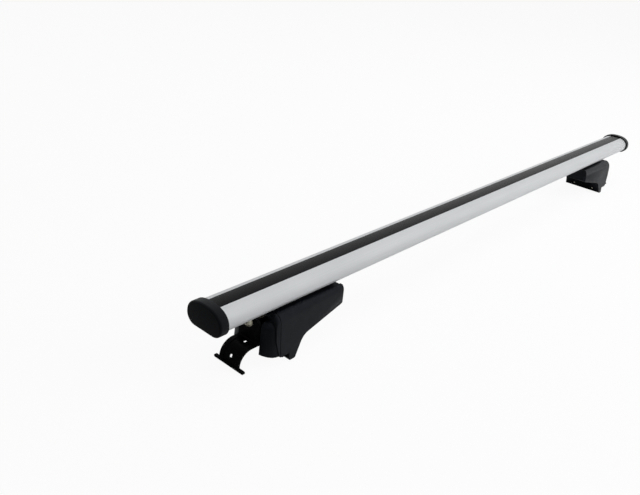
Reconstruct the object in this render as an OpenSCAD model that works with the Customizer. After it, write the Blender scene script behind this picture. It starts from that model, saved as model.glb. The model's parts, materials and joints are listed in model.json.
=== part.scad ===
// Roof rack crossbar: an oval aluminium bar on two sliding clamp feet.
// X runs along the bar, Y along the car's roof rails, Z up. The origin is in the
// middle of the bar, on the surface that the two feet stand on.

/* [Bar] */
// Length of the aluminium profile
bar_l = 1175.4; // [1100:0.1:1400]
// Width of the oval profile
bar_w = 52; // [48:0.5:60]
// Height of the oval profile
bar_h = 28.7; // [27:0.1:36]
// Height of the widest line above the underside
bar_belly = 11.4; // [10:0.1:13]
// Width of the flat underside
bar_flat_w = 27.4; // [24:0.2:32]
// Wall of the profile
bar_wall = 2; // [1.6:0.1:2.4]
// Wall of the inner webs
web_t = 1.8; // [1.4:0.1:2.2]
// Height of the underside above the surface
bar_base = 66; // [64:0.5:72]

/* [Slots in the bar] */
// Width of the top slot
top_slot_w = 20.6; // [18:0.2:22]
// Width of the channel under the top slot
top_channel_w = 27; // [25:0.2:30]
// Height of that channel
top_channel_h = 7.8; // [6:0.1:8.4]
// Thickness of the lips of the top slot at their edge
top_lip_t = 2.2; // [1.8:0.1:2.6]
// Width of the bottom slot
low_slot_w = 8.4; // [8.3:0.1:9]
// Width of the channel over the bottom slot
low_channel_w = 17; // [15.4:0.2:18]
// Height of that channel
low_channel_h = 6; // [5:0.1:6.5]
// Thickness of the lips of the bottom slot
low_lip_t = 2.5; // [2:0.1:3]

/* [Top strip] */
// Play of the rubber strip in its slot, each side
strip_gap = 0.1; // [0.05:0.05:0.3]
// Thickness of the strip's hidden flanges
strip_flange_t = 3; // [2:0.1:4]

/* [End caps] */
// Thickness of a cap outside the bar
cap_t = 12.3; // [9:0.1:16]
// How far a cap stands out past the bar all round
cap_rim = 2.4; // [0.5:0.1:2.6]
// Rounding of the cap's outer edge
cap_round = 2.8; // [2:0.1:6]
// Length of the plugs inside the bar
cap_plug_l = 18; // [10:1:30]
// Gap between the plugs and the bar
plug_gap = 0.3; // [0.2:0.05:0.5]
// Wall of the plugs
plug_wall = 1.8; // [1.4:0.1:2.2]

/* [Feet on the bar] */
// Distance from the left foot's jaw to the end of the profile
left_jaw_back = 90.7; // [85:0.1:190]
// Distance from the right foot's jaw to the end of the profile
right_jaw_back = 118.7; // [105:0.1:218]

/* [Foot covers] */
// Half width of a foot at the bottom of its jaw
foot_half_w = 38; // [37:0.1:40]
// Lean of the foot's flanks, in degrees
flank_lean = 4.6; // [3:0.1:5.5]
// How much narrower the wing's tip is than the foot, each side
wing_taper = 2.6; // [0:0.1:3]
// Rise of the shoulders from the parting line to the wing's tip
wing_lift = 2.5; // [0:0.1:3]
// Height of the cover's bottom edge
skirt_z = 10.5; // [10:0.1:12]
// Gap between the cover's top and the bar
cover_gap = 1.2; // [1:0.1:2]
// Width of the shallow trough that the bar lies over
trough_w = 47; // [44:0.5:48]
// Depth of that trough
trough_d = 1.4; // [0.8:0.1:1.5]
// Radius of the shoulders
shoulder_r = 10.5; // [9:0.5:13]
// Distance from the jaw's face to the tip of the wing
wing_l = 99.5; // [85:0.5:115]
// Distance from the jaw's face to the parting line
split_l = 15; // [14:0.5:17]
// Length of the end cover's smooth band
band_l = 7.3; // [5:0.1:8]
// Distance from the jaw's face to the front of the nose
nose_l = 34; // [33:0.5:36]
// Wall of the covers
cover_wall = 2.5; // [2:0.1:3]
// Thickness of the jaw at its bottom
jaw_t = 10; // [9:0.1:11]
// Slope of the jaw's inner side, in degrees
jaw_slope = 60; // [56:1:66]
// Height at which the jaw's inner side turns into the hollow
jaw_turn_z = 17.2; // [16:0.1:18]
// Radius of the hollow between the jaw and the wing
hollow_r = 20; // [17:0.5:21]
// Slope of the wing's underside, in degrees
wing_slope = 12.6; // [10:0.2:14]
// Rounding of the wing's tip at its corners
tip_r = 2.6; // [1.5:0.1:5]
// Rounding of the wing's tip at its lower edge
tip_low_r = 3.2; // [3:0.1:6]
// Gap between the end cover and the main cover at the parting line
split_gap = 0.9; // [0.4:0.1:1.2]

/* [Clamp strap] */
// Width of the strap
strap_w = 33.3; // [30:0.1:34]
// Thickness of the strap
strap_t = 2; // [1.6:0.1:2.5]
// Outer radius of the strap's hook
hook_r = 19.2; // [17:0.1:20]
// Height of the strap's flat run, at its top
strap_z = 25.3; // [24:0.1:27]
// Distance from the jaw's face to the start of the hook
hook_l = 43; // [42:0.5:46]
// Distance from the jaw's face to the strap's bolt flange
flange_l = 33; // [32.5:0.1:35]
// Width of the bolt flange
flange_w = 34; // [33.5:0.5:36]
// Rounding of the bolt flange's top corners
flange_r = 8; // [4:0.5:12]
// Drop from the bar's underside to the top of the bolt flange
flange_drop = 8; // [7.5:0.1:8.5]
// Length of the T-shaped lip
lip_l = 50; // [44:0.5:54]
// Height of the lip
lip_h = 3.7; // [3:0.1:4.5]
// Depth of the lip
lip_d = 3.3; // [3:0.1:5]
// Height of the lip's middle
lip_z = 2.6; // [2.5:0.1:4]
// Length of the strap's two slots
strap_slot_l = 5.4; // [4:0.2:6]
// Width of the strap's two slots
strap_slot_w = 4.2; // [3:0.2:6]
// Distance from the flange's face to the middle of the first slot
slot_back = 4.8; // [4.7:0.1:6]
// Drop from the strap's top to the middle of the second slot
slot_drop = 12; // [11:0.5:13]
// Depth of the pressed channel along the strap
strap_press = 0.8; // [0.4:0.1:1]
// Width of the pressed channel
strap_press_w = 21; // [16:0.5:24]

/* [Clamp bolt] */
// Diameter of the clamp bolt
bolt_d = 6; // [5:0.5:6.5]
// Length of the clamp bolt under its head
bolt_l = 60; // [56:1:62]
// Diameter of its domed head
bolt_head_d = 12.4; // [10:0.1:13]
// Height of the dome
bolt_head_h = 3.6; // [3:0.1:4]
// Diameter of the collar under the dome
collar_d = 13.6; // [12:0.1:14]
// Thickness of the collar
collar_t = 1; // [0.8:0.1:1.4]
// Size of the hexagon socket across its flats
socket_af = 4; // [3.5:0.5:5]
// Drop from the bar's underside to the bolt's axis
bolt_drop = 15.6; // [15.4:0.1:16.6]
// Radial play of the bolt in its nut
thread_gap = 0.05; // [0.02:0.01:0.1]
// Diameter of the washer under the head
washer_d = 14; // [13:0.5:15]
// Thickness of the washer
washer_t = 1.2; // [1:0.1:1.6]

/* [Bracket] */
// Thickness of the bracket's steel
bracket_t = 3; // [2.5:0.1:3.2]
// Width of the bracket's top plate
bracket_w = 29; // [27.5:0.5:30]
// Half width of its front plate
bracket_half_w = 29; // [26:0.5:30]
// Distance from the wing's tip to the end of its top plate
bracket_back = 11.5; // [9:0.5:13]
// Gap between the bracket and the bar
seat_gap = 0.2; // [0.1:0.05:0.3]
// Distance of the first T-bolt from the jaw's face
tbolt_1 = 24; // [20:0.5:28]
// Distance of the second T-bolt from the wing's tip
tbolt_back = 36.5; // [34:0.5:40]
// Diameter of the T-bolts
tbolt_d = 8; // [7:0.5:8]
// Size of the T-bolt nuts across their flats
tnut_af = 13; // [12:0.5:13]
// Height of the T-bolt nuts
tnut_h = 6.5; // [5.5:0.1:6.5]

/* [Rail pad] */
// Thickness of the rubber under the foot
pad_t = 3; // [2.5:0.1:3.5]
// Thickness of the rubber on the jaw
pad_jaw_t = 3; // [2:0.1:4]
// Half width of the pad
pad_half_w = 29; // [28:0.5:33]
// Distance between the pad's grooves
groove_pitch = 6; // [5:0.5:8]
// Width of a groove
groove_w = 2; // [1.5:0.1:2.5]
// Depth of a groove
groove_d = 1; // [0.5:0.1:1.2]
// Distance between the two pad screws
pad_screw_pitch = 40; // [30:0.5:44]
// Height of the pad screws
pad_screw_z = 6; // [5.5:0.1:6.5]
// Diameter of the pad screws
pad_screw_d = 3; // [2.5:0.5:3.5]
// Diameter of their heads
pad_head_d = 4.8; // [4.2:0.1:6]
// Distance from the jaw's face to the seat of their heads
pad_seat_u = 6; // [4:0.5:8]
// Diameter of the recesses that their heads lie in
pad_recess_d = 7.6; // [7:0.1:8]

/* [Hidden] */

silver = [0.76, 0.78, 0.79];
rubber_black = [0.12, 0.12, 0.13];
plastic_black = [0.09, 0.09, 0.11];
steel_black = [0.05, 0.05, 0.06];
zinc = [0.80, 0.78, 0.70];

// Smallest overlap of a cut past a face
cut = 1;
// Steps along each quarter of the bar's outline, and along a rounded edge
oval_steps = 12;
round_steps = 5;
// The upper half of the oval is a superellipse of this power
oval_power = 0.85;

cover_top = bar_base - cover_gap;
bracket_top = bar_base - seat_gap;
plate_z = bracket_top - bracket_t;
top_channel_z = bar_h - top_lip_t - 0.9 - top_channel_h;

// Heights that hang from the bar
bolt_z = bar_base - bolt_drop;
flange_z = bar_base - flange_drop;

// Middle of the hollow's round corner, and the end of the corner at the wing
jaw_toe = 0.9;
hollow_u = jaw_t + jaw_turn_z / tan(jaw_slope) + hollow_r * sin(jaw_slope);
hollow_z = jaw_turn_z - hollow_r * cos(jaw_slope);
waist_u = hollow_u - hollow_r * sin(wing_slope);
waist_z = hollow_z + hollow_r * cos(wing_slope);

// Drop of the arch that the end cover's band ends in, and step down to the nose
arch_drop = 7.4;
nose_step = 1.2;
nose_power = 2.7;
mouth_half_w = flange_w / 2 + 0.9;
mouth_top = flange_z + 1.5;
// The end cover's lower edge, and how much less its band sticks out there
nose_z = skirt_z + 1.5;
band_low_l = 2.2;
band_rise = 22;

// Inner face of the main cover's flank at the height of the end cover's tongues
tongue_z = 26;
tongue_h = 8;
tongue_y = foot_half_w - (tongue_z + tongue_h) * tan(flank_lean) - cover_wall / cos(flank_lean);

// Clearance holes round screws, and their heads
screw_gap = 0.1;
head_d = 7.5;
head_h = 2.2;
cover_screw_u = wing_l - 15;
cover_screw_d = 4;
cover_screw_head_z = wing_under(cover_screw_u - head_d / 2) + head_h;
boss_d = 11;
bracket_l = wing_l - bracket_back;
tbolts_u = [tbolt_1, wing_l - tbolt_back];

// Points of an arc with the centre c and radii ry and rz, from angle a0 to a1
function arc(c, ry, rz, a0, a1, n) =
    [for (i = [0:n]) let(a = a0 + (a1 - a0) * i / n) [c[0] + ry * cos(a), c[1] + rz * sin(a)]];

function mirrored(points) = [for (i = [len(points) - 1:-1:0]) [-points[i][0], points[i][1]]];

// Right half of the oval, from the underside to the crown
function oval_half(w, h, belly, flat) = concat(
    arc([flat / 2, belly], w / 2 - flat / 2, belly, -90, 0, oval_steps),
    [for (i = [1:oval_steps]) let(a = 90 * i / oval_steps)
        [w / 2 * pow(cos(a), oval_power), belly + (h - belly) * pow(sin(a), oval_power)]]);

// The whole outline of the bar, inset by d
function oval(d) =
    let(half = oval_half(bar_w - 2 * d, bar_h - 2 * d, bar_belly - d, bar_flat_w - d))
    [for (p = concat(half, mirrored(half))) [p[0], p[1] + d]];

// Flank and shoulder of a foot of half width w at height 0, from height z0 up to the top
function foot_flank(w, top, r, z0) =
    let(zc = top - r, yc = w - zc * tan(flank_lean) - r / cos(flank_lean))
    concat([[w - z0 * tan(flank_lean), z0]], arc([yc, zc], r, r, flank_lean, 90, round_steps + 3));

// Cross-section of a foot with both flanks
function foot_outline(w, top, r, z0) = let(half = foot_flank(w, top, r, z0)) concat(half, mirrored(half));

// Height of the wing's underside
function wing_under(u) = waist_z + (u - waist_u) * tan(wing_slope);

// Extrusions along X of a Y-Z outline, and along Y of an X-Z outline
module along_x(x0, x1) {
    translate([x0, 0, 0]) rotate([90, 0, 90]) linear_extrude(x1 - x0) children();
}

module along_y(w) {
    rotate([90, 0, 0]) linear_extrude(w, center = true) children();
}

module box_2d(y0, y1, z0, z1) {
    translate([y0, z0]) square([y1 - y0, z1 - z0]);
}

// A cylinder along X from u0 to u1
module rod_x(d, u0, u1, sides = 48) {
    translate([u0, 0, 0]) rotate([0, 90, 0]) cylinder(d = d, h = u1 - u0, $fn = sides);
}

// Puts a foot's piece, drawn from its jaw's face inwards, at the left or right end
module at_left() {
    translate([left_jaw_back - bar_l / 2, 0, 0]) children();
}

module at_right() {
    mirror([1, 0, 0]) translate([right_jaw_back - bar_l / 2, 0, 0]) children();
}

// Bar

// The two chambers at the sides and the one between the slots
module bar_chambers() {
    web = low_channel_w / 2 + web_t;
    shelf = top_channel_w / 2 + web_t;
    difference() {
        polygon(oval(bar_wall));
        box_2d(-web, web, -cut, bar_h + cut);
        box_2d(-shelf, shelf, top_channel_z - web_t, bar_h + cut);
    }
    box_2d(-low_channel_w / 2, low_channel_w / 2,
           low_lip_t + low_channel_h + web_t, top_channel_z - web_t);
}

module bar_profile() {
    color(silver) translate([0, 0, bar_base]) along_x(-bar_l / 2, bar_l / 2)
        difference() {
            polygon(oval(0));
            bar_chambers();
            box_2d(-top_slot_w / 2, top_slot_w / 2, top_channel_z, bar_h + cut);
            box_2d(-top_channel_w / 2, top_channel_w / 2,
                   top_channel_z, top_channel_z + top_channel_h);
            box_2d(-low_slot_w / 2, low_slot_w / 2, -cut, low_lip_t + cut);
            box_2d(-low_channel_w / 2, low_channel_w / 2, low_lip_t, low_lip_t + low_channel_h);
        }
}

module top_strip() {
    top = top_channel_z + top_channel_h;
    color(rubber_black) translate([0, 0, bar_base]) along_x(-bar_l / 2, bar_l / 2)
        difference() {
            union() {
                intersection() {
                    polygon(oval(0));
                    box_2d(-top_slot_w / 2 + strip_gap, top_slot_w / 2 - strip_gap,
                           top - strip_flange_t, bar_h + cut);
                }
                box_2d(-top_channel_w / 2 + strip_gap, top_channel_w / 2 - strip_gap,
                       top - strip_gap - strip_flange_t, top - strip_gap);
            }
            box_2d(-top_slot_w / 5, top_slot_w / 5, 0, top - strip_flange_t / 3);
        }
}

// A cap, drawn for the right end with the bar's end at x = 0
module end_cap() {
    translate([0, 0, bar_base]) {
        hull()
            for (i = [0:round_steps]) {
                a = 90 * i / round_steps;
                inset = cap_round * (1 - cos(a));
                x = cap_t - cap_round * (1 - sin(a));
                along_x(i == 0 ? 0 : x - 0.01, x) polygon(oval(inset - cap_rim));
            }
        for (s = [-1, 1]) scale([1, s, 1]) cap_plug();
    }
}

// A ribbed plug in a side chamber
module cap_plug() {
    y0 = low_channel_w / 2 + web_t + plug_gap;
    z1 = top_channel_z - web_t - plug_gap;
    difference() {
        along_x(-cap_plug_l, cut) intersection() {
            polygon(oval(bar_wall + plug_gap));
            box_2d(y0, bar_w / 2, 0, z1);
        }
        along_x(-cap_plug_l - cut, -2) intersection() {
            polygon(oval(bar_wall + plug_gap + plug_wall));
            box_2d(y0 + plug_wall, bar_w / 2, 0, z1 - plug_wall);
        }
    }
}

module left_end_cap() {
    color(plastic_black) mirror([1, 0, 0]) translate([bar_l / 2, 0, 0]) end_cap();
}

module right_end_cap() {
    color(plastic_black) translate([bar_l / 2, 0, 0]) end_cap();
}

// Foot covers

// Body of the foot on one side of a flank that runs in and rises a little towards the wing's tip
module flank_body(d) {
    flank = foot_flank(foot_half_w - d / cos(flank_lean), cover_top - d, shoulder_r - d, -cut);
    run = wing_l + split_l;
    translate([-split_l, 0, 0]) rotate([0, -atan(wing_lift / run), -atan(wing_taper / run)])
        along_x(-2 * cut, run + 5)
            polygon(concat(flank, [[-foot_half_w - 2, cover_top - d], [-foot_half_w - 2, -cut]]));
}

// Outline of the main cover from the side: skirt, jaw, hollow and wing, inset by d
function cover_side(d) =
    let(front = -split_l - cut * d,
        floor_z = skirt_z + d,
        r = hollow_r + d,
        bend = acos((floor_z - hollow_z) / r))
    concat(
        [[front, cover_top - d], [front, floor_z]],
        d > 0 ? [[hollow_u - r * sin(bend), floor_z]]
              : [[0, skirt_z], [0, 1], [1, 0], [jaw_t - 2.5, 0], [jaw_t - 0.7, 0.2],
                 [jaw_t + jaw_toe / tan(jaw_slope), jaw_toe]],
        arc([hollow_u, hollow_z], r, r, 90 + (d > 0 ? bend - 2 : jaw_slope), 90 + wing_slope, 10),
        arc([wing_l - tip_low_r, wing_under(wing_l - tip_low_r) + tip_low_r / cos(wing_slope)],
            tip_low_r - d, tip_low_r - d, wing_slope - 90, 0, round_steps),
        [[wing_l - d, cover_top - d]]);

// Plan of the foot, with the corners of the wing's tip rounded, inset by d
module foot_plan(d) {
    y = foot_half_w - wing_taper - wing_under(wing_l) * tan(flank_lean);
    r = max(tip_r - d, 0.1);
    side = concat([[-split_l - 2 * cut, foot_half_w + 2], [wing_l / 2, foot_half_w + 2]],
                  arc([wing_l - d - r, y - d - r], r, r, 90, 0, round_steps));
    linear_extrude(cover_top + cut)
        polygon(concat(side, [for (i = [len(side) - 1:-1:0]) [side[i][0], -side[i][1]]]));
}

module foot_body(d) {
    intersection() {
        flank_body(d);
        mirror([0, 1, 0]) flank_body(d);
        along_y(3 * foot_half_w) polygon(cover_side(d));
        foot_plan(d);
    }
}

// Shallow trough along the covers' top, under the bar
module bar_trough() {
    along_x(-nose_l - cut, wing_l + cut)
        box_2d(-trough_w / 2, trough_w / 2, cover_top - trough_d, cover_top + cut);
}

module main_cover() {
    color(plastic_black) difference() {
        union() {
            difference() {
                foot_body(0);
                foot_body(cover_wall);
            }
            // Boss that the bracket's top plate rests on
            intersection() {
                foot_body(0);
                translate([cover_screw_u, 0, 0]) cylinder(d = boss_d, h = plate_z, $fn = 48);
            }
        }
        // Window for the bracket's top plate
        translate([-0.5, -bracket_w / 2 - 0.3, cover_top - cover_wall - cut])
            cube([bracket_l + 1, bracket_w + 0.6, cover_wall + 2 * cut]);
        // Seats and holes of the pad screws
        for (s = [-1, 1]) translate([0, s * pad_screw_pitch / 2, pad_screw_z]) {
            rod_x(pad_recess_d, pad_seat_u, jaw_t + 8);
            rod_x(pad_screw_d + 2 * screw_gap, -cut, jaw_t);
        }
        bar_trough();
        // Seat and hole of the screw in the wing
        translate([cover_screw_u, 0, 0]) {
            cylinder(d = cover_screw_d + 2 * screw_gap, h = cover_top, $fn = 32);
            cylinder(d = head_d + 2 * screw_gap, h = cover_screw_head_z, $fn = 48);
        }
        // Pockets that the end cover's tongues snap into
        for (s = [0, 1]) mirror([0, s, 0])
            translate([-split_l + 4.8, tongue_y - cut, tongue_z - 0.3]) cube([2.6, cut + 1.2, tongue_h + 0.6]);
    }
}

// Half width of the nose's plan at the distance u from the jaw's face
function nose_w(u) =
    let(t = (u - split_l + 1) / (nose_l - split_l + 1))
    foot_half_w * pow(1 - pow(t, nose_power), 1 / nose_power);

// The smooth band, from the parting line to the arch, and the nose beyond it
module end_cover_body() {
    hull() {
        along_x(-split_l - band_low_l, -split_l - split_gap)
            polygon(foot_outline(foot_half_w, cover_top, shoulder_r, nose_z));
        for (i = [1:round_steps]) {
            a = 90 * i / round_steps;
            u = split_l + band_low_l + (band_l - band_low_l) * sin(a);
            along_x(-u, -u + 0.01)
                polygon(foot_outline(foot_half_w, cover_top - arch_drop * (1 - cos(a)), shoulder_r,
                                     nose_z + band_rise * sin(a)));
        }
    }
    hull()
        for (i = [0:round_steps + 1]) {
            t = sin(90 * i / (round_steps + 1));
            u = split_l + 1 + (nose_l - split_l - 1.4) * t;
            w = nose_w(u) - nose_step;
            along_x(-u, -u + 0.01)
                polygon(foot_outline(w, cover_top - arch_drop - nose_step - 3 * t * t, min(shoulder_r, w / 2),
                                     nose_z));
        }
}

// A tongue that snaps into the main cover
module snap_tongue() {
    translate([-split_l - 2, tongue_y - 2.1, tongue_z]) cube([9, 1.8, tongue_h]);
    translate([-split_l - 2, tongue_y - 2.1, tongue_z]) cube([2 - split_gap, 3.8, tongue_h]);
    translate([-split_l + 5, tongue_y - 1.2, tongue_z]) cube([2, 2, tongue_h]);
}

module end_cover() {
    color(plastic_black) {
        difference() {
            end_cover_body();
            // Hollow behind the band
            along_x(-split_l - band_low_l, cut)
                polygon(foot_outline(foot_half_w - cover_wall, cover_top - cover_wall,
                                     shoulder_r - cover_wall, nose_z + cover_wall));
            // Mouth that the strap slides in, open at the bottom
            along_x(-nose_l - cut, 0)
                box_2d(-mouth_half_w, mouth_half_w, nose_z - cut, mouth_top);
            bar_trough();
        }
        for (s = [0, 1]) mirror([0, s, 0]) snap_tongue();
    }
}

// Clamp

// Side outline of the strap at a depth p below its outer face, without its lip
module strap_side(p) {
    top = strap_z - p;
    hook_z = strap_z - hook_r;
    difference() {
        translate([-hook_l, hook_z]) circle(r = hook_r - p, $fn = 96);
        translate([-hook_l, hook_z]) circle(r = hook_r - p - strap_t, $fn = 96);
        translate([-hook_l, hook_z - 3 * hook_r]) square([3 * hook_r, 6 * hook_r]);
        translate([-hook_l - 3 * hook_r, lip_z - 3 * hook_r]) square([6 * hook_r, 3 * hook_r]);
    }
    if (hook_z > lip_z)
        translate([-hook_l - hook_r + p, lip_z]) square([strap_t, hook_z - lip_z]);
    translate([-hook_l, top - strap_t]) square([hook_l - flange_l - 1.5, strap_t]);
}

// Bend between the flat run and the flange
module strap_bend_side() {
    r = 2;
    difference() {
        translate([-flange_l - r, strap_z - strap_t]) square([r + strap_t, r + strap_t]);
        translate([-flange_l - r, strap_z + r]) circle(r = r, $fn = 48);
        difference() {
            translate([-flange_l, strap_z - strap_t - cut]) square([strap_t + cut, r + cut]);
            translate([-flange_l - r + strap_t, strap_z + r - strap_t + strap_t]) circle(r = r + strap_t, $fn = 48);
        }
    }
}

// Upright flange that the bolt draws on, wider than the strap
module strap_flange() {
    side = concat([[flange_w / 2, strap_z - strap_t]],
                  arc([flange_w / 2 - flange_r, flange_z - flange_r], flange_r, flange_r, 0, 90, round_steps));
    polygon(concat(side, mirrored(side)));
}

module clamp_strap() {
    color(steel_black) difference() {
        union() {
            along_y(strap_press_w) strap_side(strap_press);
            for (s = [-1, 1]) translate([0, s * (strap_w + strap_press_w) / 4, 0])
                along_y((strap_w - strap_press_w) / 2) strap_side(0);
            along_y(strap_w) strap_bend_side();
            along_x(-flange_l, -flange_l + strap_t) strap_flange();
            clamp_lip();
        }
        // Bolt hole
        translate([0, 0, bolt_z]) rod_x(bolt_d + 0.6, -flange_l - cut, -flange_l + strap_t + cut);
        // Slot in the flat run and slot in the hook
        translate([-flange_l - slot_back, 0, strap_z]) cube([strap_slot_l, strap_slot_w, 4 * strap_t], center = true);
        translate([-hook_l - hook_r, 0, strap_z - slot_drop])
            cube([hook_r / 2, strap_slot_w, strap_slot_l], center = true);
    }
}

// The T-shaped lip at the hook's end, with round ends
module clamp_lip() {
    u = -hook_l - hook_r + lip_d / 2 - 0.6;
    along = lip_l / 2 - lip_h / 2;
    translate([u, 0, lip_z]) {
        cube([lip_d, 2 * along, lip_h], center = true);
        for (s = [-1, 1]) translate([-lip_d / 2, s * along, 0]) rod_x(lip_h, 0, lip_d, 32);
    }
}

// Button-head screw with a collar, turned about its axis
module clamp_bolt() {
    seat_u = -flange_l - washer_t;
    color(zinc) translate([seat_u, 0, bolt_z]) rotate([0, 90, 0]) difference() {
        union() {
            translate([0, 0, -collar_t]) cylinder(d = collar_d, h = collar_t, $fn = 64);
            translate([0, 0, -collar_t]) rotate_extrude($fn = 64)
                polygon(concat([[0, 0]], arc([socket_af / 2 + 0.6, 0], bolt_head_d / 2 - socket_af / 2 - 0.6,
                                             -bolt_head_h, 0, 90, round_steps), [[0, -bolt_head_h]]));
            translate([0, 0, -collar_t / 2]) cylinder(d = bolt_d, h = bolt_l + collar_t / 2, $fn = 48);
        }
        translate([0, 0, -collar_t - bolt_head_h - cut])
            cylinder(d = socket_af / cos(30), h = bolt_head_h + cut, $fn = 6);
    }
}

module clamp_washer() {
    color(zinc) translate([0, 0, bolt_z]) difference() {
        rod_x(washer_d, -flange_l - washer_t, -flange_l, 64);
        rod_x(bolt_d + 0.4, -flange_l - washer_t - cut, -flange_l + cut);
    }
}

// Square nut welded behind the bracket's front plate
module clamp_nut() {
    color(zinc) translate([0, 0, bolt_z]) difference() {
        translate([bracket_t, -5, -5]) cube([6, 10, 10]);
        rod_x(bolt_d + 2 * thread_gap, bracket_t - cut, bracket_t + 6 + cut);
    }
}

// Bracket and its fasteners

module foot_bracket() {
    floor_z = skirt_z + cover_wall;
    shoulder_z = cover_top - 2 * shoulder_r;
    neck_z = cover_top - cover_wall - 2;
    rib_z = bolt_z - 14;
    color(steel_black) difference() {
        union() {
            // Front plate, which stands on the cover's floor and carries the nut
            along_x(0, bracket_t)
                polygon([[-bracket_half_w, floor_z], [bracket_half_w, floor_z], [bracket_half_w - 2, shoulder_z],
                         [bracket_w / 2, neck_z], [bracket_w / 2, bracket_top], [-bracket_w / 2, bracket_top],
                         [-bracket_w / 2, neck_z], [2 - bracket_half_w, shoulder_z]]);
            translate([0, -bracket_w / 2, plate_z]) cube([bracket_l, bracket_w, bracket_t]);
            // Folded ribs along the top plate
            for (s = [-1, 1]) translate([0, s * (bracket_w - bracket_t) / 2, 0])
                along_y(bracket_t)
                    polygon([[bracket_t / 2, plate_z + 1], [bracket_t / 2, rib_z], [tbolt_1 - 6, rib_z + 3],
                             [bracket_l - 17, plate_z - 13], [bracket_l, plate_z - 7], [bracket_l, plate_z + 1]]);
        }
        translate([0, 0, bolt_z]) rod_x(bolt_d + 0.6, -cut, bracket_t + cut);
        for (u = tbolts_u)
            translate([u, 0, plate_z - cut]) cylinder(d = tbolt_d + 0.4, h = bracket_t + 2 * cut, $fn = 48);
    }
}

// T-bolts with a flat head in the bar's lower channel
module t_bolts() {
    head_z = bar_base + low_lip_t + 0.1;
    head = [12, low_channel_w - 1.4, 4];
    color(zinc) for (u = tbolts_u) translate([u, 0, 0]) {
        translate([-head[0] / 2, -head[1] / 2, head_z]) cube(head);
        translate([0, 0, plate_z - tnut_h - 2]) cylinder(d = tbolt_d, h = head_z - plate_z + tnut_h + 3, $fn = 48);
    }
}

module t_bolt_nuts() {
    color(zinc) for (u = tbolts_u) translate([u, 0, plate_z - tnut_h])
        difference() {
            union() {
                cylinder(d = tnut_af / cos(30), h = tnut_h, $fn = 6);
                translate([0, 0, tnut_h - 1.4]) cylinder(d = tnut_af + 4, h = 1.4, $fn = 48);
            }
            translate([0, 0, -cut]) cylinder(d = tbolt_d + 2 * thread_gap, h = tnut_h + 2 * cut, $fn = 48);
        }
}

// Screw that holds the wing to the bracket
module cover_screw() {
    color(steel_black) translate([cover_screw_u, 0, cover_screw_head_z - head_h]) {
        cylinder(d = head_d, h = head_h, $fn = 48);
        cylinder(d = cover_screw_d, h = plate_z - cover_screw_head_z + head_h, $fn = 32);
    }
}

// Rail pad

module rail_pad() {
    z1 = skirt_z - pad_t;
    color(rubber_black) difference() {
        union() {
            translate([-split_l + 1, -pad_half_w, z1]) cube([split_l - 1, 2 * pad_half_w, pad_t]);
            translate([-pad_jaw_t, -pad_half_w, 1]) cube([pad_jaw_t, 2 * pad_half_w, z1 - 1 + cut]);
        }
        for (y = [-floor((pad_half_w - groove_w) / groove_pitch):floor((pad_half_w - groove_w) / groove_pitch)])
            translate([0, y * groove_pitch - groove_w / 2, 0]) {
                translate([-split_l, 0, z1 - cut]) cube([split_l - pad_jaw_t, groove_w, groove_d + cut]);
                translate([-pad_jaw_t - cut, 0, 0]) cube([groove_d + cut, groove_w, z1 + groove_d]);
            }
        for (s = [-1, 1]) translate([0, s * pad_screw_pitch / 2, pad_screw_z])
            rod_x(pad_screw_d, -pad_jaw_t / 2, cut);
    }
}

module pad_screws() {
    color(zinc) for (s = [-1, 1]) translate([0, s * pad_screw_pitch / 2, pad_screw_z]) {
        rod_x(pad_screw_d, -pad_jaw_t / 2, pad_seat_u + cut / 2);
        rod_x(pad_head_d, pad_seat_u, pad_seat_u + 0.4 * pad_head_d);
    }
}

bar_profile();
top_strip();
left_end_cap();
right_end_cap();
at_left() foot_bracket();  // left_bracket
at_left() main_cover();  // left_main_cover
at_left() end_cover();  // left_end_cover
at_left() rail_pad();  // left_rail_pad
at_left() pad_screws();  // left_pad_screws
at_left() clamp_strap();  // left_clamp_strap
at_left() clamp_bolt();  // left_clamp_bolt
at_left() clamp_washer();  // left_clamp_washer
at_left() clamp_nut();  // left_clamp_nut
at_left() t_bolts();  // left_t_bolts
at_left() t_bolt_nuts();  // left_t_bolt_nuts
at_left() cover_screw();  // left_cover_screw
at_right() foot_bracket();  // right_bracket
at_right() main_cover();  // right_main_cover
at_right() end_cover();  // right_end_cover
at_right() rail_pad();  // right_rail_pad
at_right() pad_screws();  // right_pad_screws
at_right() clamp_strap();  // right_clamp_strap
at_right() clamp_bolt();  // right_clamp_bolt
at_right() clamp_washer();  // right_clamp_washer
at_right() clamp_nut();  // right_clamp_nut
at_right() t_bolts();  // right_t_bolts
at_right() t_bolt_nuts();  // right_t_bolt_nuts
at_right() cover_screw();  // right_cover_screw
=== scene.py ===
"""Looks of a roof rack crossbar: satin bar, rubber strip, moulded feet and plated hardware.

Everything is in metres, in the part's own frame: X along the bar, Z up, and the origin under
the middle of the bar on the surface that its feet stand on."""

import json
import math

import bmesh
import bpy
from mathutils import Matrix, Vector


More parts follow.
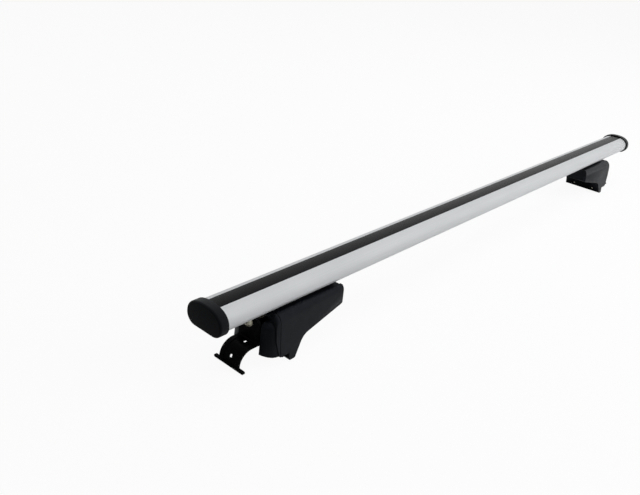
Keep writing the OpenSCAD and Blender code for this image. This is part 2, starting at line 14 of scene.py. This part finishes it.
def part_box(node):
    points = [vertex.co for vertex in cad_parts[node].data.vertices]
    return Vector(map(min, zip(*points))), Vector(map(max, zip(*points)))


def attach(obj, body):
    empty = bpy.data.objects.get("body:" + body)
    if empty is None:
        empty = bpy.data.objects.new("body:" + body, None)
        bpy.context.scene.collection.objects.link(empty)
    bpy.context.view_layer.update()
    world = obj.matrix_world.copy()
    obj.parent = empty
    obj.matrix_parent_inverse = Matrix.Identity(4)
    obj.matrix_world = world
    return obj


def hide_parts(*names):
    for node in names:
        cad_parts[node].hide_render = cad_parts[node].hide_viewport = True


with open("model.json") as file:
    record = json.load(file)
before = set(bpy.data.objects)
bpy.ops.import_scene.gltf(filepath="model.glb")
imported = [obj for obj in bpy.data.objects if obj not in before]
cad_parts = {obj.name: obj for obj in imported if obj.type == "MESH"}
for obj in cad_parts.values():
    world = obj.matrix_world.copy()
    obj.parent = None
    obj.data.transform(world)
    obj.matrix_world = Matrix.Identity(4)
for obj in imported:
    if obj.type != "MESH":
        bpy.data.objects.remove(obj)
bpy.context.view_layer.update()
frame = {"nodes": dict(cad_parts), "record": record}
RECORD = frame["record"]
BODY_OF = {node: body for body, nodes in RECORD["behaviour"]["bodies"].items() for node in nodes}
SLOT_OF = {part["node"]: part["material_slot"] for part in RECORD["subparts"]}
SIDES = ("left", "right")
MM = 0.001


# Node trees

class Nodes:
    """A node tree that is put together node by node."""

    def __init__(self, tree):
        self.tree = tree

    def node(self, kind, **settings):
        made = self.tree.nodes.new(kind)
        for key, value in settings.items():
            setattr(made, key, value)
        return made

    def feed(self, value, target):
        """Links a socket to an input, or sets the input to a value."""
        if isinstance(value, bpy.types.NodeSocket):
            self.tree.links.new(value, target)
        else:
            target.default_value = value

    def calc(self, operation, *values):
        made = self.node("ShaderNodeMath", operation=operation)
        for value, target in zip(values, made.inputs):
            self.feed(value, target)
        return made.outputs["Value"]

    def along(self, axis, vector):
        """One axis of a vector."""
        split = self.node("ShaderNodeSeparateXYZ")
        self.feed(vector, split.inputs["Vector"])
        return split.outputs[axis]

    def spread(self, value, low, high, start, end):
        """Takes the range start to end to the range low to high."""
        made = self.node("ShaderNodeMapRange")
        self.feed(value, made.inputs["Value"])
        for key, number in (("From Min", start), ("From Max", end), ("To Min", low), ("To Max", high)):
            made.inputs[key].default_value = number
        return made.outputs["Result"]

    def glow(self, kind, strength):
        """A plain white light of its own, as an emission or a background."""
        made = self.node(kind)
        made.inputs["Color"].default_value = (1, 1, 1, 1)
        made.inputs["Strength"].default_value = strength
        return made.outputs[0]

    def mixed(self, share, first, second):
        mix = self.node("ShaderNodeMixShader")
        self.feed(share, mix.inputs["Fac"])
        self.feed(first, mix.inputs[1])
        self.feed(second, mix.inputs[2])
        return mix.outputs["Shader"]


# Between these, a noise has most of its values
NOISE_LOW, NOISE_HIGH = 0.35, 0.65
# Colour sockets of a mix node, which has a set of sockets for each kind of data
MIX_FIRST, MIX_SECOND, MIX_RESULT = 6, 7, 2
# Cosine of the turn from a face to its rounded edge: fully paler (handling wear and painted highlight),
# and not paler at all
TURN_WORN_AND_LIT, TURN_PLAIN = 0.86, 0.995
# Patches of the paler edges (handling wear and painted highlight) along a metre, and the share of them
# that is left where there is least
PALE_EDGE_PATCHES, PALE_EDGE_LEAST = 140, 0.35
# Openness of a place that gets the full painted shade, and of one that gets none
OPEN_SHADED, OPEN_UNSHADED = 0.3, 0.85
PEBBLE_ROUNDING = 0.6


class Shader(Nodes):
    """A principled material. The scale of a pattern is how often it repeats in a metre."""

    def __init__(self, name):
        self.material = bpy.data.materials.new(name)
        self.material.use_nodes = True
        super().__init__(self.material.node_tree)
        self.surface = self.tree.nodes["Principled BSDF"]
        self.place = self.node("ShaderNodeTexCoord").outputs["Object"]
        self.height = None

    def set(self, **values):
        for key, value in values.items():
            self.surface.inputs[key.replace("_", " ")].default_value = value

    def stretched(self, scale):
        """The surface's place, stretched or squeezed along X, Y and Z."""
        mapping = self.node("ShaderNodeMapping")
        mapping.inputs["Scale"].default_value = scale
        self.feed(self.place, mapping.inputs["Vector"])
        return mapping.outputs["Vector"]

    def noise(self, scale, detail=3.0, roughness=0.5):
        """A cloudy pattern. With a scale for each axis, it is drawn out along one of them."""
        made = self.node("ShaderNodeTexNoise")
        drawn = isinstance(scale, tuple)
        made.inputs["Scale"].default_value = 1.0 if drawn else scale
        made.inputs["Detail"].default_value = detail
        made.inputs["Roughness"].default_value = roughness
        self.feed(self.stretched(scale) if drawn else self.place, made.inputs["Vector"])
        return made.outputs["Fac"]

    def pebbles(self, size):
        """Rounded pebbles, as on a moulded grain."""
        made = self.node("ShaderNodeTexVoronoi", feature="SMOOTH_F1")
        made.inputs["Scale"].default_value = 1 / size
        made.inputs["Smoothness"].default_value = PEBBLE_ROUNDING
        self.feed(self.place, made.inputs["Vector"])
        return made.outputs["Distance"]

    def beyond(self, axis, start, end):
        """Goes from 0 at start metres to 1 at end metres from the middle, both ways along an axis."""
        return self.spread(self.calc("ABSOLUTE", self.along(axis, self.place)), 0, 1, start, end)

    def edges(self, reach):
        """Goes from 0 on plain faces to about 1 on edges, patchily: partly handling wear, partly a
        painted highlight along the edges.
        """
        rounded = self.node("ShaderNodeBevel", samples=4)
        rounded.inputs["Radius"].default_value = reach
        plain = self.node("ShaderNodeNewGeometry")
        turn = self.node("ShaderNodeVectorMath", operation="DOT_PRODUCT")
        self.feed(rounded.outputs["Normal"], turn.inputs[0])
        self.feed(plain.outputs["Normal"], turn.inputs[1])
        turned = self.spread(turn.outputs["Value"], 1, 0, TURN_WORN_AND_LIT, TURN_PLAIN)
        patches = self.spread(self.noise(PALE_EDGE_PATCHES), PALE_EDGE_LEAST, 1, NOISE_LOW, NOISE_HIGH)
        return self.calc("MULTIPLY", turned, patches)

    def recesses(self, reach):
        """Goes from 0 in the open to 1 deep in sockets and thread roots: a painted shade where light
        reaches least.
        """
        closed = self.node("ShaderNodeAmbientOcclusion", samples=8, only_local=True)
        closed.inputs["Distance"].default_value = reach
        return self.spread(closed.outputs["AO"], 1, 0, OPEN_SHADED, OPEN_UNSHADED)

    def colours(self, value, first, second, start=NOISE_LOW, end=NOISE_HIGH):
        ramp = self.node("ShaderNodeValToRGB")
        for stop, place, colour in zip(ramp.color_ramp.elements, (start, end), (first, second)):
            stop.position = place
            stop.color = (*colour, 1)
        self.feed(value, ramp.inputs["Fac"])
        self.feed(ramp.outputs["Color"], self.surface.inputs["Base Color"])

    def colour_over(self, share, colour):
        """Lays a plain colour over the base colour by a 0 to 1 share."""
        base = self.surface.inputs["Base Color"]
        under = base.links[0].from_socket
        mix = self.node("ShaderNodeMix", data_type="RGBA")
        self.feed(share, mix.inputs["Factor"])
        self.feed(under, mix.inputs[MIX_FIRST])
        mix.inputs[MIX_SECOND].default_value = (*colour, 1)
        self.feed(mix.outputs[MIX_RESULT], base)

    def rough(self, value, low, high):
        self.feed(self.spread(value, low, high, NOISE_LOW, NOISE_HIGH), self.surface.inputs["Roughness"])

    def bump(self, value, depth, strength):
        """Raises the surface by up to depth metres; later bumps lie over earlier ones."""
        made = self.node("ShaderNodeBump")
        made.inputs["Strength"].default_value = strength
        made.inputs["Distance"].default_value = depth
        self.feed(value, made.inputs["Height"])
        if self.height:
            self.feed(self.height, made.inputs["Normal"])
        self.height = made.outputs["Normal"]
        self.feed(self.height, self.surface.inputs["Normal"])


# Materials

# A painted highlight on the bar's cut ends, where they catch the light over the last of its length: none
# of it here, all of it there
CUT_FADES_FROM, CUT_FADES_TO = 1.6 * MM, 0.9 * MM
CUT_HIGHLIGHT = (0.95, 0.95, 0.95)


def anodised():
    """Satin silver with faint die lines that run along the bar."""
    s = Shader("anodised_bar")
    s.set(Metallic=0.9)
    lines = s.noise((1.5, 900, 900), detail=4.0, roughness=0.7)
    s.colours(lines, (0.715, 0.73, 0.74), (0.795, 0.81, 0.82), start=0.2, end=0.8)
    bar_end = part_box("bar_profile")[1][0]
    # painted highlight along the bar's cut ends
    s.colour_over(s.beyond("X", bar_end - CUT_FADES_FROM, bar_end - CUT_FADES_TO), CUT_HIGHLIGHT)
    s.rough(s.noise(14, detail=2.0), 0.50, 0.56)
    s.bump(lines, depth=0.02 * MM, strength=0.6)
    s.bump(s.noise(2600, detail=1.0), depth=0.01 * MM, strength=0.5)
    return s.material


def strip_rubber():
    """Smooth black rubber with faint drawn lines and a little dust."""
    s = Shader("strip_rubber")
    s.set(Specular_IOR_Level=0.09, Specular_Tint=(0.92, 0.93, 1, 1))
    s.colours(s.noise(45, detail=5.0), (0.001, 0.001, 0.0014), (0.0025, 0.0025, 0.0033))
    s.rough(s.noise(160), 0.24, 0.32)
    s.bump(s.noise((3, 1400, 1400)), depth=0.03 * MM, strength=0.6)
    s.bump(s.noise(1500, detail=2.0), depth=0.02 * MM, strength=0.4)
    return s.material


def grained(name, dark, light, worn, rough, grain, depth):
    """Moulded black plastic with a fine pebble grain and paler edges, partly wear and partly a painted
    highlight.
    """
    s = Shader(name)
    s.set(Specular_IOR_Level=0.15, Specular_Tint=(0.82, 0.9, 1, 1))
    s.colours(s.noise(60, detail=4.0), dark, light)
    # paler edges: handling wear together with a painted highlight
    s.colour_over(s.edges(0.9 * MM), worn)
    s.rough(s.noise(220, detail=4.0), *rough)
    s.bump(s.pebbles(grain), depth, strength=0.8)
    s.bump(s.noise(18, detail=2.0), depth=0.12 * MM, strength=0.35)
    return s.material


def pad_rubber():
    """Dull black rubber."""
    s = Shader("pad_rubber")
    s.set(Specular_IOR_Level=0.04)
    s.colours(s.noise(90, detail=4.0), (0.010, 0.010, 0.011), (0.018, 0.018, 0.019))
    s.rough(s.noise(300), 0.62, 0.78)
    s.bump(s.noise(1800, detail=2.0), depth=0.03 * MM, strength=0.6)
    return s.material


def powder_coat():
    """Black powder coat with its faint orange peel and paler edges, partly wear and partly a painted
    highlight.
    """
    s = Shader("black_steel")
    s.set(Specular_IOR_Level=0.03)
    s.colours(s.noise(70), (0.003, 0.003, 0.0034), (0.0055, 0.0055, 0.006))
    # paler edges: handling wear together with a painted highlight
    s.colour_over(s.edges(0.6 * MM), (0.013, 0.013, 0.014))
    s.rough(s.noise(260), 0.26, 0.38)
    s.bump(s.noise(900, detail=2.0), depth=0.05 * MM, strength=0.6)
    return s.material


def plated():
    """Yellowish zinc plate, clouded and finely scratched, with a painted shade in its recesses."""
    s = Shader("zinc")
    s.set(Metallic=0.8)
    s.colours(s.noise(420, detail=4.0), (0.66, 0.62, 0.48), (0.82, 0.79, 0.66))
    # painted shade in the sockets, thread roots and other recesses
    s.colour_over(s.recesses(3 * MM), (0.06, 0.05, 0.04))
    s.rough(s.noise(700, detail=4.0), 0.34, 0.46)
    s.bump(s.noise((700, 3500, 3500), detail=2.0), depth=0.01 * MM, strength=0.5)
    return s.material


MATERIALS = {
    "anodised_bar": anodised(),
    "strip_rubber": strip_rubber(),
    "cap_plastic": grained(
        "cap_plastic", dark=(0.002, 0.0021, 0.0025), light=(0.0035, 0.0036, 0.0042),
        worn=(0.012, 0.0125, 0.014), rough=(0.31, 0.42), grain=0.5 * MM, depth=0.03 * MM),
    "foot_plastic": grained(
        "foot_plastic", dark=(0.0022, 0.0026, 0.0036), light=(0.0045, 0.0052, 0.007),
        worn=(0.008, 0.009, 0.011), rough=(0.28, 0.39), grain=0.7 * MM, depth=0.09 * MM),
    "pad_rubber": pad_rubber(),
    "black_steel": powder_coat(),
    "zinc": plated(),
}


# Pieces

# Rounding of each piece's edges
BEVELS = {
    "bar_profile": 0.25 * MM, "top_strip": 0.3 * MM, "end_cap": 0.3 * MM,
    "main_cover": 0.7 * MM, "end_cover": 0.6 * MM, "bracket": 0.4 * MM, "rail_pad": 0.25 * MM,
    "clamp_strap": 0.35 * MM, "clamp_bolt": 0.25 * MM, "clamp_washer": 0.12 * MM, "clamp_nut": 0.3 * MM,
    "t_bolts": 0.3 * MM, "t_bolt_nuts": 0.3 * MM, "pad_screws": 0.35 * MM, "cover_screw": 0.3 * MM,
}
BEVEL_STEPS = 3
# Points closer than this are one, and faces that turn by less than this angle are one
WELD = 0.002 * MM
FLAT_DEG = 0.6
# An edge that turns by more than this is rounded
SHARP_DEG = 28


def add_object(name, data):
    made = bpy.data.objects.new(name, data)
    bpy.context.scene.collection.objects.link(made)
    return made


def add_piece(name, bm, node):
    """A new piece with the finish and the body of a node."""
    mesh = bpy.data.meshes.new(name)
    bm.to_mesh(mesh)
    bm.free()
    piece = add_object(name, mesh)
    piece.data.materials.append(MATERIALS[SLOT_OF[node]])
    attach(piece, BODY_OF[node])
    return piece


def bevel_of(node):
    return BEVELS[node.replace("left_", "").replace("right_", "")]


def soft_edged(node, reshape=None):
    """The node's own form with its sharp edges rounded, as moulds, dies and paint leave them."""
    source = frame["nodes"][node].data
    bm = bmesh.new()
    points = [bm.verts.new(v.co) for v in source.vertices]
    for polygon in source.polygons:
        bm.faces.new([points[i] for i in polygon.vertices])
    bmesh.ops.remove_doubles(bm, verts=bm.verts, dist=WELD)
    if reshape:
        reshape(bm)
    bmesh.ops.dissolve_limit(bm, angle_limit=math.radians(FLAT_DEG), verts=bm.verts, edges=bm.edges)
    for face in bm.faces:
        face.smooth = True
    piece = add_piece(node + "_skin", bm, node)
    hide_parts(node)
    edges = piece.modifiers.new("edges", "BEVEL")
    edges.width = bevel_of(node)
    edges.segments = BEVEL_STEPS
    edges.limit_method = "ANGLE"
    edges.angle_limit = math.radians(SHARP_DEG)
    edges.harden_normals = True
    edges.use_clamp_overlap = True


# Clamp bolts: a 6 mm thread that moves 1 mm along for each turn, cut into the plain shank
BOLT_AXIS_Z = 50.4 * MM
BOLT_L = 60 * MM
THREAD_R = 3 * MM
ROOT_R = 2.39 * MM
CORE_R = 2.3 * MM
PITCH = 1 * MM
# Shares of the pitch on the flat crest and on the two flanks
CREST, FLANKS = 0.15, 0.65
THREAD_POINT = 0.6 * MM
ROWS_A_TURN, COLUMNS = 6, 20
# What counts as the shank: how far before its start, and how far off its radius
SHANK_BEFORE = 0.05 * MM
SHANK_OFF = 0.1 * THREAD_R


def shank_of(side):
    """Where the bolt's shank starts, and the way from its head to its point along X."""
    low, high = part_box(side + "_clamp_bolt")
    if side == "left":
        return high[0] - BOLT_L, 1
    return low[0] + BOLT_L, -1


def thin_shank(side):
    """Draws the shank in to the thread's core, just inside the thread."""
    start, way = shank_of(side)

    def reshape(bm):
        for vert in bm.verts:
            along = (vert.co.x - start) * way
            off = Vector((0, vert.co.y, vert.co.z - BOLT_AXIS_Z))
            if along > -SHANK_BEFORE and abs(off.length - THREAD_R) < SHANK_OFF:
                vert.co -= off * (1 - CORE_R / off.length)
                if along > BOLT_L / 2:
                    vert.co.x -= way * THREAD_POINT
    return reshape


def thread_radius(along, turn):
    """The thread's radius at a way along the shank and a share of a turn."""
    phase = (along / PITCH - turn) % 1
    depth = min(max((abs(2 * phase - 1) - CREST) / FLANKS, 0), 1)
    depth *= min(along / PITCH, 1)
    cut = THREAD_R - (THREAD_R - ROOT_R) * depth
    return min(cut, THREAD_R - THREAD_POINT + (BOLT_L - along))


def add_thread(side):
    node = side + "_clamp_bolt"
    start, way = shank_of(side)
    rows = round(BOLT_L / PITCH * ROWS_A_TURN)
    bm = bmesh.new()
    rings = []
    for row in range(rows + 1):
        along = BOLT_L * row / rows
        ring = []
        for column in range(COLUMNS):
            turn = column / COLUMNS
            r = thread_radius(along, turn * way)
            y, z = r * math.cos(math.tau * turn), r * math.sin(math.tau * turn)
            ring.append(bm.verts.new((start + way * along, y, BOLT_AXIS_Z + z)))
        rings.append(ring)
    for ring, following in zip(rings, rings[1:]):
        for k in range(COLUMNS):
            n = (k + 1) % COLUMNS
            bm.faces.new((ring[k], ring[n], following[n], following[k]))
    bm.faces.new(rings[0])
    bm.faces.new(rings[-1])
    bmesh.ops.recalc_face_normals(bm, faces=bm.faces)
    add_piece(node + "_thread", bm, node)


RESHAPES = {side + "_clamp_bolt": thin_shank(side) for side in SIDES}

for node_name in frame["nodes"]:
    soft_edged(node_name, RESHAPES.get(node_name))
for bolt_side in SIDES:
    add_thread(bolt_side)


# Camera: where the photograph was taken from, found from the bar's own edges

CAMERA_AT = (-1.02241, -0.49098, 0.48432)
CAMERA_RIGHT = (0.6623, -0.7422, 0.1021)
CAMERA_UP = (0.2588, 0.3545, 0.8985)
FOCAL_PX = 702.6
CENTRE_PX = (321.14, 243.78)
PHOTO_PX = (640, 495)
SENSOR_MM = 36.0
CLIP_NEAR, CLIP_FAR = 0.02, 50


def place_camera():
    right, up = Vector(CAMERA_RIGHT).normalized(), Vector(CAMERA_UP)
    back = right.cross(up).normalized()
    up = back.cross(right)
    data = bpy.data.cameras.new("camera")
    data.sensor_width = SENSOR_MM
    data.lens = FOCAL_PX * SENSOR_MM / PHOTO_PX[0]
    data.shift_x = (PHOTO_PX[0] / 2 - CENTRE_PX[0]) / PHOTO_PX[0]
    data.shift_y = (CENTRE_PX[1] - PHOTO_PX[1] / 2) / PHOTO_PX[0]
    data.clip_start, data.clip_end = CLIP_NEAR, CLIP_FAR
    camera = add_object("camera", data)
    axes = Matrix((right, up, back)).transposed()
    camera.matrix_world = Matrix.Translation(CAMERA_AT) @ axes.to_4x4()
    bpy.context.scene.camera = camera


# Floor and light

SKY_COLOUR = (0.95, 0.97, 1, 1)
SKY_STRENGTH = 0.1
# Shares of plain white in what a shiny surface sees of the sky, towards each end of the bar
SKY_MIRRORED_LEFT = 0.23
SKY_MIRRORED_RIGHT = 0.89

FLOOR_SIZE = 60
FLOOR_Z = -0.2 * MM
PAPER = (0.66, 0.66, 0.66, 1)
PAPER_ROUGH = 0.9
# Shares of plain white in what the camera and a shiny surface see of the floor; the camera's
# rest is the shadow
FLOOR_WHITE = 0.94
FLOOR_MIRRORED = 0.05
# Where, towards the left, the floor grows darker for shiny surfaces, and by which share: a painted shade
# in what they reflect, which darkens the faces that look to the left
FLOOR_DARK_FROM, FLOOR_DARK_TO = -0.52, -0.60
FLOOR_DARK = 0.6

# Name, place, target, width and power of each lamp
LAMPS = (
    ("key", (1.3, -2.0, 1.6), (0.1, 0, 0.05), 1.8, 45),
    ("top", (0.6, -0.1, 2.8), (0.2, 0, 0.05), 2.4, 45),
    ("far", (1.9, -1.6, 1.4), (0.5, 0, 0.05), 1.6, 26),
)


def with_white(nodes, surface, white, seen, mirrored):
    """Mixes a shader with plain white by two shares: what a camera sees, and what a gloss shows."""
    rays = nodes.node("ShaderNodeLightPath").outputs
    total = nodes.calc("MULTIPLY", rays["Is Camera Ray"], seen)
    for ray, share in (("Is Glossy Ray", mirrored), ("Is Transmission Ray", seen)):
        total = nodes.calc("MAXIMUM", total, nodes.calc("MULTIPLY", rays[ray], share))
    return nodes.mixed(total, surface, white)


def add_world():
    world = bpy.data.worlds.new("studio")
    world.use_nodes = True
    nodes = Nodes(world.node_tree)
    sky = nodes.tree.nodes["Background"]
    sky.inputs["Color"].default_value = SKY_COLOUR
    sky.inputs["Strength"].default_value = SKY_STRENGTH
    toward = nodes.along("X", nodes.node("ShaderNodeTexCoord").outputs["Generated"])
    mirrored = nodes.spread(toward, SKY_MIRRORED_LEFT, SKY_MIRRORED_RIGHT, -1, 1)
    white = nodes.glow("ShaderNodeBackground", 1)
    seen = with_white(nodes, sky.outputs["Background"], white, 1, mirrored)
    nodes.feed(seen, nodes.tree.nodes["World Output"].inputs["Surface"])
    bpy.context.scene.world = world


def add_floor():
    bpy.ops.mesh.primitive_plane_add(size=FLOOR_SIZE, location=(0, 0, FLOOR_Z))
    floor = bpy.context.active_object
    floor.name = "floor"
    material = bpy.data.materials.new("floor")
    material.use_nodes = True
    nodes = Nodes(material.node_tree)
    paper = nodes.tree.nodes["Principled BSDF"]
    paper.inputs["Base Color"].default_value = PAPER
    paper.inputs["Roughness"].default_value = PAPER_ROUGH
    place = nodes.along("X", nodes.node("ShaderNodeNewGeometry").outputs["Position"])
    # painted shade: the floor's left is darker only in reflections
    left = nodes.spread(place, 0, FLOOR_DARK, FLOOR_DARK_FROM, FLOOR_DARK_TO)
    glossy = nodes.node("ShaderNodeLightPath").outputs["Is Glossy Ray"]
    black = nodes.glow("ShaderNodeEmission", 0)
    surface = nodes.mixed(nodes.calc("MULTIPLY", left, glossy), paper.outputs["BSDF"], black)
    white = nodes.glow("ShaderNodeEmission", 1)
    seen = with_white(nodes, surface, white, FLOOR_WHITE, FLOOR_MIRRORED)
    nodes.feed(seen, nodes.tree.nodes["Material Output"].inputs["Surface"])
    floor.data.materials.append(material)


def add_lamp(name, place, target, size, watts):
    data = bpy.data.lights.new(name, "AREA")
    data.shape = "DISK"
    data.size = size
    data.energy = watts
    lamp = add_object(name, data)
    aim = Vector(target) - Vector(place)
    lamp.matrix_world = Matrix.Translation(place) @ aim.to_track_quat("-Z", "Y").to_matrix().to_4x4()
    lamp.visible_glossy = False


place_camera()
add_world()
add_floor()
for lamp_values in LAMPS:
    add_lamp(*lamp_values)
bpy.context.scene.view_settings.view_transform = "Standard"
